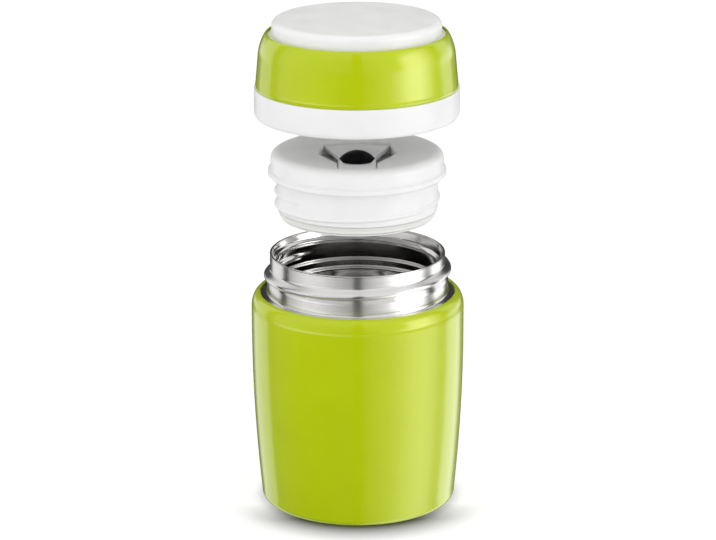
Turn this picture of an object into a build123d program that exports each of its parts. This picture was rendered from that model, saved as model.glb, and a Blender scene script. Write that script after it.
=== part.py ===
from build123d import *
import os

# Insulated food jar: a double-walled steel jar, a screw stopper with a vent, and a screw lid.
# Millimetres. The origin is the middle of the foot ring, on the table, and +Z is up.
# The stopper and the lid are stored unscrewed and raised clear of the jar, one above the other.
# The front of the jar, where the vent's press tab points, is -Y.

# ---------------------------------------------------------------- threads and travel
thread_lead = 6.0
stopper_turns = 6
lid_turns = 7.5
stopper_lift = stopper_turns * thread_lead
lid_lift = lid_turns * thread_lead
thread_start_angle = 150.0
thread_fade = 30.0
thread_fade_steps = 3
thread_fade_left = 0.1
moving_gap = 0.3

# ---------------------------------------------------------------- jar, mouth and flask
mouth_radius = 37.9
flask_wall = 0.6
mouth_bead_rise = 1.2
mouth_bead_half_height = 1.5
mouth_bead_start_depth = 10.4
mouth_bead_turns = 1.15
ledge_depth = 14.2
ledge_drop = 4.4
ledge_width = 3.0
throat_length = 0.8
flask_shoulder_drop = 15.0
flask_corner_round = 8.0
mouth_bead_radius = mouth_radius - mouth_bead_rise
throat_radius = mouth_radius - ledge_width

# ---------------------------------------------------------------- jar, neck ring
neck_wall = 0.8
neck_seam_gap = 0.3
neck_height = 18.1
neck_step = 1.4
lower_neck_height = 5.7
neck_step_height = 3.5
neck_flange_width = 3.15
neck_flange_drop = 0.4
neck_root_round = 1.2
bead_rise = 2.8
bead_height_below = 1.8
bead_height_above = 3.4
bead_start_rise = 7.1
bead_turns = 1.0
neck_radius = mouth_radius + flask_wall + neck_seam_gap + neck_wall
lower_neck_radius = neck_radius + neck_step
bead_crest_radius = neck_radius + bead_rise

# ---------------------------------------------------------------- jar, outer shell
shell_wall = 0.8
shoulder_height = 98.3
shoulder_round = 4.0
widest_drop = 18.3
shell_taper = 4.25
foot_edge_round = 3.0
foot_width = 2.4
opening_radius = lower_neck_radius + neck_flange_width
shell_radius = opening_radius + shoulder_round
base_radius = shell_radius - shell_taper
foot_inner_radius = base_radius - foot_edge_round - foot_width

# ---------------------------------------------------------------- jar, vacuum space and base
vacuum_gap = 2.75
vacuum_gap_low = 2.1
floor_gap = 5.0
base_plate_wall = 0.8
base_flange_margin = 0.2
base_recess = 3.2
base_cover_thickness = 0.8
base_cover_gap = 0.5
port_radius = 2.0
port_seal_radius = 3.2
port_seal_height = 1.0
getter_radius = 5.0
getter_height = 2.2
getter_offset = 14.0
flask_radius = shell_radius - shell_wall - vacuum_gap - flask_wall
flask_base_radius = base_radius - shell_wall - vacuum_gap_low - flask_wall
flask_floor_height = base_recess + base_plate_wall + floor_gap + flask_wall

# ---------------------------------------------------------------- stopper, plug and seal
plug_clearance = 0.5
plug_wall = 1.8
plug_foot_drop = 0.5
plug_foot_clearance = 0.6
plug_foot_height = 0.7
plug_foot_round = 0.5
plug_spigot_height = 3.0
rib_clearance = 0.6
rib_half_height = 1.1
rib_turns = 1.15
seal_groove_depth = 3.2
seal_groove_height = 3.7
seal_thickness = 1.4
seal_upper_lip = 1.2
seal_lower_lip = 0.4
foam_gap = 0.2
plug_radius = mouth_bead_radius - plug_clearance
plug_foot_radius = throat_radius - plug_foot_clearance
rib_crest_radius = mouth_radius - rib_clearance
seal_groove_radius = plug_radius - seal_groove_depth
seal_inner_radius = seal_groove_radius + moving_gap
seal_body_radius = seal_inner_radius + seal_thickness

# ---------------------------------------------------------------- stopper, cap
cap_height = 11.3
cap_lip_overhang = 0.4
cap_lip_width = 1.2
cap_lip_height = 3.4
cap_lip_round = 0.8
cap_flat_margin = 0.65
cap_dome_share = 0.55
cap_dome_start = 4.4
cap_dome_drop = 1.6
cap_roof = 1.8
cap_roof_margin = 0.6
recess_edge_round = 0.4
recess_land = 6.2
cap_lip_radius = neck_radius + cap_lip_overhang
cap_radius = cap_lip_radius - cap_lip_width

# ---------------------------------------------------------------- vent lever and its recess
recess_depth = 6.4
recess_floor = 1.6
tab_half_width = 8.3
tab_length = 6.1
tab_raise = 1.3
tab_notch_half_width = 5.0
tab_arm_length = 13.0
lever_straight_to = 6.5
lever_back_x = 14.6
lever_back_y = 12.5
lever_back_middle = 15.5
lever_thickness = 2.0
lever_sink = 1.6
lever_edge_round = 0.35
slit = 0.5
pocket_start = 23.8
pocket_corner_x = 17.4
pocket_corner_y = -7.6
pin_radius = 0.9
pin_running_gap = 0.05
pin_y = 7.0
pin_depth = 4.1
knuckle_radius = 1.9
knuckle_half_width = 7.8
lug_thickness = 2.0
lug_gap = 0.4
lug_half_length = 1.9
lug_top = 1.4
tab_front = cap_radius - recess_land - slit
recess_reach = Vector(tab_half_width + slit, tab_front + slit).length
cap_flat_radius = recess_reach + cap_flat_margin

# ---------------------------------------------------------------- vent button, valve and spring
button_y = -12.2
button_radius = 8.2
button_height = 4.2
button_notch_gap = 0.2
button_stub_radius = 3.0
stem_radius = 1.6
stem_gap = 0.3
stem_head = 0.8
valve_disc_radius = 5.0
valve_disc_thickness = 1.0
valve_washer_thickness = 1.0
valve_pocket_gap = 1.5
valve_pocket_depth = 2.4
valve_boss_wall = 1.5
guide_wall = 1.5
well_gap = 0.8
well_wall = 1.2
well_bottom = -1.0
spring_wire = 0.4
spring_gap = 0.8
spring_turns = 4
clip_width = 1.8
clip_thickness = 0.8
clip_groove = 0.4
valve_pocket_radius = valve_disc_radius + valve_pocket_gap
clip_radius = stem_radius + clip_width
well_radius = clip_radius + well_gap
spring_radius = stem_radius + spring_gap + spring_wire

# ---------------------------------------------------------------- lid
lid_gap = 0.5
lid_bead_clearance = 0.6
lid_rib_clearance = 0.5
lid_rib_half_height = 1.3
lid_rib_turns = 0.85
lid_wall = 1.2
lid_rim_wall = 2.85
lid_rim_height = 13.4
lid_rim_round = 2.4
lid_thread_margin = 1.0
lid_roof_clearance = 1.4
lid_inner_round = 4.0
band_wall = 1.0
band_draft = 1.8
band_liner_gap = 0.6
band_crown_width = 2.3
band_crown_height = 5.0
band_above_roof = 3.6
top_cap_groove = 3.3
top_cap_height = 5.9
top_cap_round = 3.0
top_cap_wall = 1.6
top_cap_flange = 1.2
top_cap_flange_drop = 1.2
lid_inner_radius = bead_crest_radius + lid_bead_clearance
lid_rim_radius = lid_inner_radius + lid_rim_wall
lid_rib_crest_radius = lower_neck_radius + lid_rib_clearance
band_bottom_radius = lid_inner_radius + lid_wall + band_wall
band_shoulder_radius = band_bottom_radius - band_draft
band_top_radius = band_shoulder_radius - band_crown_width
lid_inner_top_radius = band_shoulder_radius - band_wall - band_liner_gap - lid_wall
top_cap_radius = band_top_radius - top_cap_groove

# ---------------------------------------------------------------- heights with the jar closed
rim_height = shoulder_height + neck_height
lower_neck_top = shoulder_height + lower_neck_height
upper_neck_bottom = lower_neck_top + neck_step_height
bead_start_height = shoulder_height + bead_start_rise
mouth_bead_start_height = rim_height - mouth_bead_start_depth
ledge_top = rim_height - ledge_depth
ledge_bottom = ledge_top - ledge_drop
seat = rim_height + moving_gap
plug_bottom = ledge_bottom - plug_foot_drop
groove_bottom = plug_bottom + plug_foot_height
groove_top = groove_bottom + seal_groove_height
cap_top = seat + cap_height
lever_top = cap_top - lever_sink
lever_bottom = lever_top - lever_thickness
recess_bottom = cap_top - recess_depth
pin_height = cap_top - pin_depth
well_floor = seat + well_bottom
pocket_roof = plug_bottom + valve_pocket_depth
stem_top = lever_bottom - moving_gap
clip_bottom = stem_top - stem_head
lid_bottom = shoulder_height + lid_gap
lid_rim_top = lid_bottom + lid_rim_height
lid_thread_top = bead_start_height + bead_turns * thread_lead + lid_thread_margin
button_top = lever_top + button_height
lid_roof = button_top + lid_roof_clearance
band_top = lid_roof + lid_wall + band_above_roof
band_shoulder = band_top - band_crown_height
lid_top = band_top + top_cap_height


# ---------------------------------------------------------------- helpers
def turned(outline):
    """The solid that a flat outline (radius, height) makes when it turns round the Z axis."""
    return revolve(Plane.XZ * outline, axis=Axis.Z)


def closed(*points):
    """A flat outline through straight-line points (radius, height)."""
    return make_face(Polyline(*points, close=True))


def rounded(outline, corners):
    """The outline with each named corner, given as (point, radius), rounded."""
    for point, radius in corners:
        corner = outline.vertices().sort_by_distance(Vector(*point))[0]
        outline = fillet(corner, radius)
    return outline


def ring(inner, outer, bottom, top):
    """A plain ring round the Z axis."""
    return turned(closed((inner, bottom), (outer, bottom), (outer, top), (inner, top)))


def disc(radius, bottom, top, x=0.0, y=0.0):
    """A plain round disc or rod that stands at x, y."""
    place = Pos(x, y, bottom)
    upward = (Align.CENTER, Align.CENTER, Align.MIN)
    return place * Cylinder(radius, top - bottom, align=upward)


def bar_slice(section, radius, swell, angle):
    """A thread bar's section (radius, height) at an angle along its helix, shrunk to its root."""
    root = section[0][0]
    points = [(root + swell * (reach - root), swell * height) for reach, height in section]
    path = Helix(pitch=thread_lead, height=thread_lead, radius=radius)
    start = Plane(origin=path @ 0, x_dir=(1, 0, 0), z_dir=path % 0)
    flat = start * Pos(-radius, 0, 0) * make_face(Polyline(*points, close=True))
    return Pos(0, 0, thread_lead * angle / 360) * Rot(0, 0, angle) * flat


def helical_bar(section, radius, turns, start_height):
    """A right-hand thread bar of the given section that fades out at both ends."""
    path = Helix(pitch=thread_lead, height=thread_lead * turns, radius=radius)
    bar = sweep(bar_slice(section, radius, 1, 0), path=path, is_frenet=True)
    for full_angle, way in ((0, -1), (360 * turns, 1)):
        slices = []
        for step in range(thread_fade_steps + 1):
            share = step / thread_fade_steps
            swell = 1 - (1 - thread_fade_left) * share
            slices.append(bar_slice(section, radius, swell, full_angle + way * share * thread_fade))
        bar += loft(slices)
    return Pos(0, 0, start_height) * Rot(0, 0, thread_start_angle) * bar


def mirrored_outline(right_side, top_middle):
    """A flat plan outline from its right side, closed at the back by an arc."""
    left_side = [(-x, y) for x, y in reversed(right_side)]
    back = ThreePointArc(right_side[-1], top_middle, left_side[0])
    sides = Polyline(*left_side, *right_side)
    return make_face([sides, back])


# ---------------------------------------------------------------- jar
def shell_solid(inset):
    """The jar's outer form, or the space inside it when the inset is the sheet's thickness."""
    top = shoulder_height - inset
    bend = shoulder_height - shoulder_round
    widest = shoulder_height - widest_drop
    low_radius = base_radius - inset
    high_radius = shell_radius - inset
    outline = make_face(
        [
            Line((0, inset), (low_radius, inset)),
            TangentArc((high_radius, widest), (low_radius, inset), tangent=(0, -1)),
            Line((high_radius, widest), (high_radius, bend)),
            RadiusArc((high_radius, bend), (opening_radius, top), -(shoulder_round - inset)),
            Line((opening_radius, top), (0, top)),
            Line((0, top), (0, inset)),
        ]
    )
    return turned(rounded(outline, [((low_radius, inset), foot_edge_round - inset)]))


def make_outer_shell():
    """The lacquered sheet shell, open at the shoulder and inside the foot ring."""
    shell = shell_solid(0) - shell_solid(shell_wall)
    shell -= disc(opening_radius, shoulder_height - 2 * shell_wall, shoulder_height + shell_wall)
    shell -= disc(foot_inner_radius, -shell_wall, 2 * shell_wall)
    return shell


def neck_bead_section():
    """The rolled bead's section: a short flank below the crest and a long hollow one above it."""
    root = neck_radius - neck_wall / 2
    below = [(0.57, 0.8), (0.875, 0.45)]
    above = [(0.9, 0.22), (0.6, 0.48), (0.25, 0.76)]
    section = [(root, -bead_height_below)]
    for rise, height in below:
        section.append((neck_radius + rise * bead_rise, -height * bead_height_below))
    section.append((bead_crest_radius, 0))
    for rise, height in above:
        section.append((neck_radius + rise * bead_rise, height * bead_height_above))
    section.append((root, bead_height_above))
    return section


def make_threaded_neck():
    """The bare steel neck ring with one turn of rolled bead and a flange in the shoulder."""
    flange_top = shoulder_height - neck_flange_drop
    flange_bottom = flange_top - neck_wall
    top = rim_height - flask_wall
    outer = [
        (opening_radius, flange_bottom),
        (opening_radius, flange_top),
        (lower_neck_radius, flange_top),
        (lower_neck_radius, lower_neck_top),
        (neck_radius, upper_neck_bottom),
        (neck_radius, top),
    ]
    inner = [
        (neck_radius - neck_wall, top),
        (neck_radius - neck_wall, upper_neck_bottom),
        (lower_neck_radius - neck_wall, lower_neck_top),
        (lower_neck_radius - neck_wall, flange_bottom),
    ]
    outline = rounded(closed(*outer, *inner), [((lower_neck_radius, flange_top), neck_root_round)])
    bead = helical_bar(neck_bead_section(), bead_crest_radius, bead_turns, bead_start_height)
    return turned(outline) + bead


def flask_solid(wall):
    """The flask's inner space, or its outer form when the wall is the sheet's thickness."""
    throat_bottom = ledge_bottom - throat_length
    shoulder = throat_bottom - flask_shoulder_drop
    floor = flask_floor_height - wall
    low_radius = flask_base_radius + wall
    high_radius = flask_radius + wall
    throat = throat_radius + wall
    mouth = mouth_radius + wall
    outline = make_face(
        [
            Line((0, floor), (low_radius, floor)),
            TangentArc((high_radius, shoulder), (low_radius, floor), tangent=(0, -1)),
            Spline((high_radius, shoulder), (throat, throat_bottom), tangents=((0, 1), (-0.7, 0.7))),
            Polyline(
                (throat, throat_bottom),
                (throat, ledge_bottom),
                (mouth, ledge_top),
                (mouth, rim_height),
                (0, rim_height),
                (0, floor),
            ),
        ]
    )
    return turned(rounded(outline, [((low_radius, floor), flask_corner_round + wall)]))


def make_inner_flask():
    """The food compartment: a sheet flask with a sealing ledge, a mouth thread and a rim lip."""
    rim_lip = ring(mouth_radius, neck_radius, rim_height - flask_wall, rim_height)
    root = mouth_radius + flask_wall / 2
    half = mouth_bead_half_height
    section = [
        (root, -half),
        (mouth_bead_radius, -half / 3),
        (mouth_bead_radius, half / 3),
        (root, half),
    ]
    bead = helical_bar(section, mouth_bead_radius, mouth_bead_turns, mouth_bead_start_height)
    return flask_solid(flask_wall) - flask_solid(0) + rim_lip + bead


def make_base_plate():
    """The pressed bottom that closes the vacuum space, with the pump-out port in its middle."""
    flange_outer = base_radius - foot_edge_round - base_flange_margin
    flange_top = shell_wall + base_plate_wall
    web_inner = foot_inner_radius - base_plate_wall
    web_top = base_recess + base_plate_wall
    outline = closed(
        (port_radius, base_recess),
        (web_inner, base_recess),
        (web_inner, shell_wall),
        (flange_outer, shell_wall),
        (flange_outer, flange_top),
        (foot_inner_radius, flange_top),
        (foot_inner_radius, web_top),
        (port_radius, web_top),
    )
    return turned(outline)


def make_port_seal():
    """The glass bead that closes the pump-out port."""
    plate_top = base_recess + base_plate_wall
    plug = disc(port_radius, base_recess, plate_top)
    return plug + disc(port_seal_radius, plate_top, plate_top + port_seal_height)


def make_base_cover():
    """The thin disc glued under the base plate, over the port."""
    radius = foot_inner_radius - base_plate_wall - base_cover_gap
    return disc(radius, base_recess - base_cover_thickness, base_recess)


def make_getter():
    """The gas getter, fixed under the flask's floor inside the vacuum space."""
    top = flask_floor_height - flask_wall
    return disc(getter_radius, top - getter_height, top, x=getter_offset)


# ---------------------------------------------------------------- stopper
def make_stopper_body():
    """The plug: a cup with the stopper's thread, a seal groove, a stem guide and a valve seat."""
    spigot_top = seat + plug_spigot_height
    floor_top = plug_bottom + plug_wall
    outer = [
        (0, plug_bottom),
        (plug_foot_radius, plug_bottom),
        (plug_foot_radius, groove_bottom),
        (seal_groove_radius, groove_bottom),
        (seal_groove_radius, groove_top),
        (plug_radius, groove_top),
        (plug_radius, spigot_top),
    ]
    inner = [
        (plug_radius - plug_wall, spigot_top),
        (plug_radius - plug_wall, groove_top + plug_wall),
        (seal_groove_radius - plug_wall, groove_top),
        (seal_groove_radius - plug_wall, floor_top),
        (0, floor_top),
    ]
    outline = rounded(closed(*outer, *inner), [((plug_foot_radius, plug_bottom), plug_foot_round)])
    body = turned(outline)
    root = plug_radius - plug_wall / 4
    half = rib_half_height
    section = [
        (root, -half),
        (rib_crest_radius, -0.4 * half),
        (rib_crest_radius, 0.4 * half),
        (root, half),
    ]
    rib_start = mouth_bead_start_height - thread_lead / 2
    body += helical_bar(section, rib_crest_radius, rib_turns, rib_start)
    boss_radius = valve_pocket_radius + valve_boss_wall
    boss_top = pocket_roof + valve_boss_wall
    guide_radius = stem_radius + stem_gap + guide_wall
    body += disc(boss_radius, floor_top, boss_top, y=button_y)
    body += disc(guide_radius, boss_top, well_floor - well_wall, y=button_y)
    body -= disc(valve_pocket_radius, plug_bottom, pocket_roof, y=button_y)
    body -= disc(stem_radius + stem_gap, plug_bottom, well_floor, y=button_y)
    return body


def make_stopper_seal():
    """The two-lipped silicone ring in the plug's groove, which meets the flask's ledge."""
    bottom = groove_bottom + moving_gap
    top = groove_top - moving_gap
    height = top - bottom
    outline = closed(
        (seal_inner_radius, bottom),
        (seal_body_radius, bottom),
        (seal_body_radius + seal_lower_lip, bottom + 0.15 * height),
        (seal_body_radius, bottom + 0.4 * height),
        (seal_body_radius, bottom + 0.55 * height),
        (seal_body_radius + seal_upper_lip, bottom + 0.75 * height),
        (seal_body_radius, top),
        (seal_inner_radius, top),
    )
    return turned(outline)


def make_stopper_foam():
    """The insulating foam that fills the plug round the valve's guide."""
    radius = plug_radius - plug_wall - foam_gap
    low_radius = seal_groove_radius - plug_wall - foam_gap
    bottom = plug_bottom + plug_wall + foam_gap
    step = groove_top + plug_wall + foam_gap
    top = well_floor - well_wall - foam_gap
    foam = disc(radius, step, top) + disc(low_radius, bottom, step)
    boss_radius = valve_pocket_radius + valve_boss_wall + foam_gap
    guide_radius = stem_radius + stem_gap + guide_wall + foam_gap
    foam -= disc(boss_radius, bottom, pocket_roof + valve_boss_wall + foam_gap, y=button_y)
    foam -= disc(guide_radius, bottom, top, y=button_y)
    return foam


def recess_outline(grow):
    """The plan of the cap's recess: a slot beside the tab that opens into two finger pockets."""
    side = tab_half_width + slit + grow
    right_side = [
        (side, -tab_front - slit - grow),
        (side, -pocket_start),
        (pocket_corner_x + grow, pocket_corner_y),
        (lever_back_x + slit + grow, lever_back_y),
    ]
    return mirrored_outline(right_side, (0, lever_back_middle + slit + grow))


def lever_outline():
    """The plan of the lever: a straight tab in front that widens into a fan behind."""
    right_side = [
        (tab_half_width, -tab_front),
        (tab_half_width, -lever_straight_to),
        (lever_back_x, lever_back_y),
    ]
    return mirrored_outline(right_side, (0, lever_back_middle))


def tab_outline():
    """The plan of the raised press tab, whose two arms taper back beside the button."""
    tab_back = -tab_front + tab_length
    right_side = [
        (tab_half_width, -tab_front),
        (tab_half_width, -tab_arm_length),
        (tab_notch_half_width, tab_back),
    ]
    left_side = [(-x, y) for x, y in reversed(right_side)]
    return make_face(Polyline(*right_side, *left_side, close=True))


def make_stopper_cap():
    """The domed cap with its flange lip, the lever's recess, its two lugs and the spring well."""
    side_top = seat + cap_lip_height
    inside = plug_radius
    dome_start = (cap_flat_radius, cap_top)
    dome_end = (cap_radius, side_top + cap_dome_start)
    dome_flat = (cap_flat_radius + cap_dome_share * (cap_radius - cap_flat_radius), cap_top)
    dome_steep = (cap_radius, cap_top - cap_dome_drop)
    roof = cap_top - cap_roof
    dome = Bezier(dome_start, dome_flat, dome_steep, dome_end)
    outline = make_face(
        [
            Line((0, cap_top), dome_start),
            dome,
            Polyline(
                dome_end,
                (cap_radius, side_top),
                (cap_lip_radius, side_top - cap_lip_round),
                (cap_lip_radius, seat + cap_lip_round),
                (cap_lip_radius - cap_lip_round, seat),
                (0, seat),
                (0, cap_top),
            ),
        ]
    )
    cavity = closed(
        (0, seat),
        (inside, seat),
        (inside, seat + plug_spigot_height),
        (cap_flat_radius + cap_roof_margin, roof),
        (0, roof),
    )
    cap = turned(outline) - turned(cavity)
    pan_depth = recess_depth + recess_floor - cap_roof
    pan = extrude(Pos(0, 0, roof - pan_depth) * recess_outline(recess_floor), pan_depth)
    cap += pan
    cap += disc(well_radius + well_wall, well_floor - well_wall, recess_bottom, y=button_y)
    cap -= extrude(Pos(0, 0, recess_bottom) * recess_outline(0), recess_depth)
    cap_face = cap.faces().filter_by(Axis.Z).sort_by(Axis.Z)[-1]
    cap = fillet(cap_face.inner_wires()[0].edges(), recess_edge_round)
    cap -= disc(well_radius, well_floor, recess_bottom, y=button_y)
    cap -= disc(stem_radius + stem_gap, well_floor - well_wall, well_floor, y=button_y)
    for side in (-1, 1):
        cap += make_lug(side)
    return cap


def make_lug(side):
    """One of the two lugs that hold the lever's pin."""
    top = pin_height + lug_top
    height = top - recess_bottom
    middle = knuckle_half_width + lug_gap + lug_thickness / 2
    upward = (Align.CENTER, Align.CENTER, Align.MIN)
    lug = Box(lug_thickness, 2 * lug_half_length, height, align=upward)
    lug = Pos(side * middle, pin_y, recess_bottom) * lug
    return lug - pin_bar(pin_radius, 2 * (middle + lug_thickness))


def pin_bar(radius, length):
    """A bar along the lever's pin axis."""
    return Pos(0, pin_y, pin_height) * Rot(0, 90, 0) * Cylinder(radius, length)


def make_vent_pin():
    """The steel pin that the lever turns on, fast in the lugs."""
    return pin_bar(pin_radius, 2 * (knuckle_half_width + lug_gap + lug_thickness))


def soft_topped(piece):
    """The piece with the edges round its top face rounded."""
    top_face = piece.faces().sort_by(Axis.Z)[-1]
    return fillet(top_face.edges(), lever_edge_round)


def make_vent_lever():
    """The fan-shaped lever with its raised press tab, knuckle and hole for the button."""
    lever = soft_topped(extrude(Pos(0, 0, lever_bottom) * lever_outline(), lever_thickness))
    tab = extrude(Pos(0, 0, lever_bottom) * tab_outline(), lever_thickness + tab_raise)
    notch_radius = button_radius + button_notch_gap
    tab = soft_topped(tab) - disc(notch_radius, lever_top, cap_top, y=button_y)
    lever += tab
    lever += pin_bar(knuckle_radius, 2 * knuckle_half_width)
    lug_middle = knuckle_half_width + lug_gap + lug_thickness / 2
    pocket = Box(
        lug_thickness + 2 * lug_gap,
        2 * (lug_half_length + lug_gap),
        pin_height + lug_top + lug_gap - lever_bottom + 1,
        align=(Align.CENTER, Align.CENTER, Align.MIN),
    )
    for side in (-1, 1):
        lever -= Pos(side * lug_middle, pin_y, lever_bottom - 1) * pocket
    lever -= pin_bar(pin_radius + pin_running_gap, 2 * lug_middle)
    lever -= disc(button_stub_radius, lever_bottom, lever_top, y=button_y)
    return lever


def make_vent_button():
    """The black silicone dome that is plugged into the lever."""
    dome = make_face(
        [
            Line((0, lever_top), (button_radius, lever_top)),
            TangentArc((0, button_top), (button_radius, lever_top), tangent=(1, 0)),
            Line((0, button_top), (0, lever_top)),
        ]
    )
    stub = disc(button_stub_radius, lever_bottom, lever_top, y=button_y)
    return Pos(0, button_y, 0) * turned(dome) + stub


def make_vent_stem():
    """The valve's stem, with the disc that closes the port in the plug's floor."""
    disc_top = pocket_roof - moving_gap - valve_washer_thickness
    disc_bottom = disc_top - valve_disc_thickness
    stem = disc(stem_radius, disc_bottom, stem_top, y=button_y)
    stem += disc(valve_disc_radius, disc_bottom, disc_top, y=button_y)
    groove_floor = disc(stem_radius - clip_groove, clip_bottom - clip_thickness, clip_bottom, y=button_y)
    groove = disc(stem_radius, clip_bottom - clip_thickness, clip_bottom, y=button_y) - groove_floor
    return stem - groove


def make_valve_washer():
    """The silicone washer on the valve disc."""
    top = pocket_roof - moving_gap
    bottom = top - valve_washer_thickness
    washer = disc(valve_disc_radius, bottom, top, y=button_y)
    return washer - disc(stem_radius, bottom, top, y=button_y)


def make_vent_clip():
    """The open ring that snaps into the stem's groove and takes the spring's push."""
    bottom = clip_bottom - clip_thickness
    clip = disc(clip_radius, bottom, clip_bottom, y=button_y)
    clip -= disc(stem_radius - clip_groove, bottom, clip_bottom, y=button_y)
    mouth = Box(
        2 * (stem_radius - clip_groove),
        clip_radius,
        clip_thickness,
        align=(Align.CENTER, Align.MIN, Align.MIN),
    )
    return clip - Pos(0, button_y, bottom) * mouth


def make_vent_spring():
    """The compression spring between the well's floor and the clip."""
    bottom = well_floor + spring_wire
    top = clip_bottom - clip_thickness - spring_wire
    path = Helix(pitch=(top - bottom) / spring_turns, height=top - bottom, radius=spring_radius)
    start = Plane(origin=path @ 0, z_dir=path % 0)
    wire = sweep(start * Circle(spring_wire), path=path, is_frenet=True)
    return Pos(0, button_y, bottom) * wire


# ---------------------------------------------------------------- lid
def make_lid_liner():
    """The white rim ring and inner cup in one moulding, with the thread that grips the neck."""
    roof_top = lid_roof + lid_wall
    outer = [
        (lid_inner_radius, lid_bottom),
        (lid_rim_radius, lid_bottom),
        (lid_rim_radius, lid_rim_top),
        (lid_inner_radius + lid_wall, lid_rim_top),
        (lid_inner_top_radius + lid_wall, roof_top),
        (0, roof_top),
    ]
    inner = [
        (0, lid_roof),
        (lid_inner_top_radius, lid_roof),
        (lid_inner_radius, lid_thread_top),
    ]
    corners = [
        ((lid_rim_radius, lid_bottom), lid_rim_round),
        ((lid_inner_top_radius + lid_wall, roof_top), lid_inner_round + lid_wall),
        ((lid_inner_top_radius, lid_roof), lid_inner_round),
    ]
    liner = turned(rounded(closed(*outer, *inner), corners))
    half = lid_rib_half_height
    root = lid_inner_radius + lid_wall / 3
    section = [
        (root, -half),
        (lid_rib_crest_radius, -half / 2),
        (lid_rib_crest_radius, half / 2),
        (root, half),
    ]
    rib_start = bead_start_height - thread_lead / 2
    return liner + helical_bar(section, lid_rib_crest_radius, lid_rib_turns, rib_start)


def make_lid_band():
    """The lacquered band round the lid, drawn in at the top."""
    bottom = lid_rim_top
    shoulder = band_shoulder
    top = band_top
    outer_side = Line((band_bottom_radius, bottom), (band_shoulder_radius, shoulder))
    outer_top = TangentArc(
        (band_shoulder_radius, shoulder), (band_top_radius, top), tangent=outer_side % 1
    )
    inner_side = Line(
        (band_bottom_radius - band_wall, bottom), (band_shoulder_radius - band_wall, shoulder)
    )
    inner_top = TangentArc(
        (band_shoulder_radius - band_wall, shoulder),
        (band_top_radius - band_wall, top - band_wall / 2),
        tangent=inner_side % 1,
    )
    top_edge = Line((band_top_radius, top), (band_top_radius - band_wall, top - band_wall / 2))
    bottom_edge = Line((band_bottom_radius, bottom), (band_bottom_radius - band_wall, bottom))
    outline = make_face([outer_side, outer_top, top_edge, inner_top, inner_side, bottom_edge])
    return turned(outline)


def make_lid_top_cap():
    """The raised white top, a hollow disc whose flange sits inside the band on the liner."""
    liner_top = lid_roof + lid_wall
    flange_top = band_top - top_cap_flange_drop
    flange_radius = band_top_radius - band_wall - foam_gap
    hollow = top_cap_radius - top_cap_wall
    outline = closed(
        (hollow, liner_top),
        (top_cap_radius, liner_top),
        (top_cap_radius, flange_top - top_cap_flange),
        (flange_radius, flange_top - top_cap_flange),
        (flange_radius, flange_top),
        (top_cap_radius, flange_top),
        (top_cap_radius, lid_top),
        (0, lid_top),
        (0, lid_top - top_cap_wall),
        (hollow, lid_top - top_cap_wall),
    )
    return turned(rounded(outline, [((top_cap_radius, lid_top), top_cap_round)]))


def make_lid_insulation():
    """The foam disc in the space between the liner and the top cap."""
    bottom = lid_roof + lid_wall + moving_gap
    top = lid_top - top_cap_wall - moving_gap
    radius = top_cap_radius - top_cap_wall - moving_gap
    return disc(radius, bottom, top)


# ---------------------------------------------------------------- assembly
def unscrewed(piece, lift):
    """The piece turned and raised along the common thread lead."""
    return Pos(0, 0, lift) * Rot(0, 0, 360 * lift / thread_lead) * piece


jar_pieces = {
    "outer_shell": make_outer_shell(),
    "threaded_neck": make_threaded_neck(),
    "inner_flask": make_inner_flask(),
    "base_plate": make_base_plate(),
    "port_seal": make_port_seal(),
    "base_cover": make_base_cover(),
    "getter": make_getter(),
}
stopper_pieces = {
    "stopper_body": make_stopper_body(),
    "stopper_cap": make_stopper_cap(),
    "stopper_foam": make_stopper_foam(),
    "stopper_seal": make_stopper_seal(),
    "vent_lever": make_vent_lever(),
    "vent_pin": make_vent_pin(),
    "vent_button": make_vent_button(),
    "vent_stem": make_vent_stem(),
    "valve_washer": make_valve_washer(),
    "vent_clip": make_vent_clip(),
    "vent_spring": make_vent_spring(),
}
lid_pieces = {
    "lid_liner": make_lid_liner(),
    "lid_band": make_lid_band(),
    "lid_top_cap": make_lid_top_cap(),
    "lid_insulation": make_lid_insulation(),
}

os.makedirs("parts", exist_ok=True)
pieces = dict(jar_pieces)
for name, piece in stopper_pieces.items():
    pieces[name] = unscrewed(piece, stopper_lift)
for name, piece in lid_pieces.items():
    pieces[name] = unscrewed(piece, stopper_lift + lid_lift)
for name, piece in pieces.items():
    export_step(piece, f"parts/{name}.step")
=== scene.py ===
import math

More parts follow.
